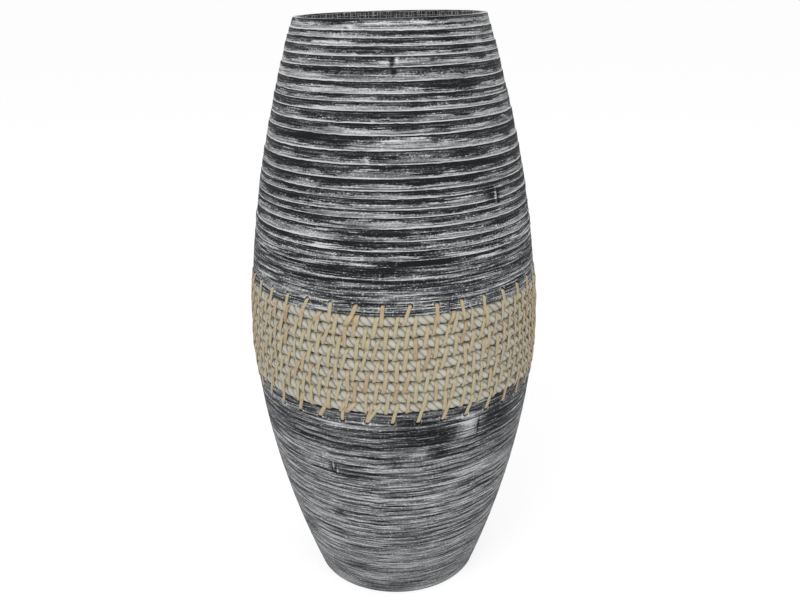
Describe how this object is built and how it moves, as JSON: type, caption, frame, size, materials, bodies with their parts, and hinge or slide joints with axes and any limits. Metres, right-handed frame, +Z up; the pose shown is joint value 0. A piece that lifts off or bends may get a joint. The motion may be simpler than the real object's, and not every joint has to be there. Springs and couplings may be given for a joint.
{
  "type": "wound bamboo floor vase",
  "caption": "Tall floor vase of wound bamboo strips with a stepped upper body, a smooth lower body and a belt of twisted rope sewn round the belly with cane.",
  "frame": {"origin": "centre of the circle that the vase stands on, at floor level", "axes": "+Z up along the vase's axis; -Y is the front, where the rope rows lie level; the rim is lowest on -X"},
  "size_m": [0.3018, 0.3018, 0.6],
  "materials": {
    "bamboo": "matte",
    "rope": "matte",
    "cane": "satin",
    "gauze": "matte"
  },
  "bodies": {
    "root": {"wall_strip_01": "bamboo", "wall_strip_02": "bamboo", "wall_strip_03": "bamboo", "wall_strip_04": "bamboo", "wall_strip_05": "bamboo", "wall_strip_06": "bamboo", "wall_strip_07": "bamboo", "wall_strip_08": "bamboo", "wall_strip_09": "bamboo", "wall_strip_10": "bamboo", "wall_strip_11": "bamboo", "wall_strip_12": "bamboo", "base_disc": "bamboo", "gauze_lining": "gauze", "rope_band": "rope", "top_edge_stitches": "cane", "bottom_edge_stitches": "cane"}
  },
  "joints": []
}
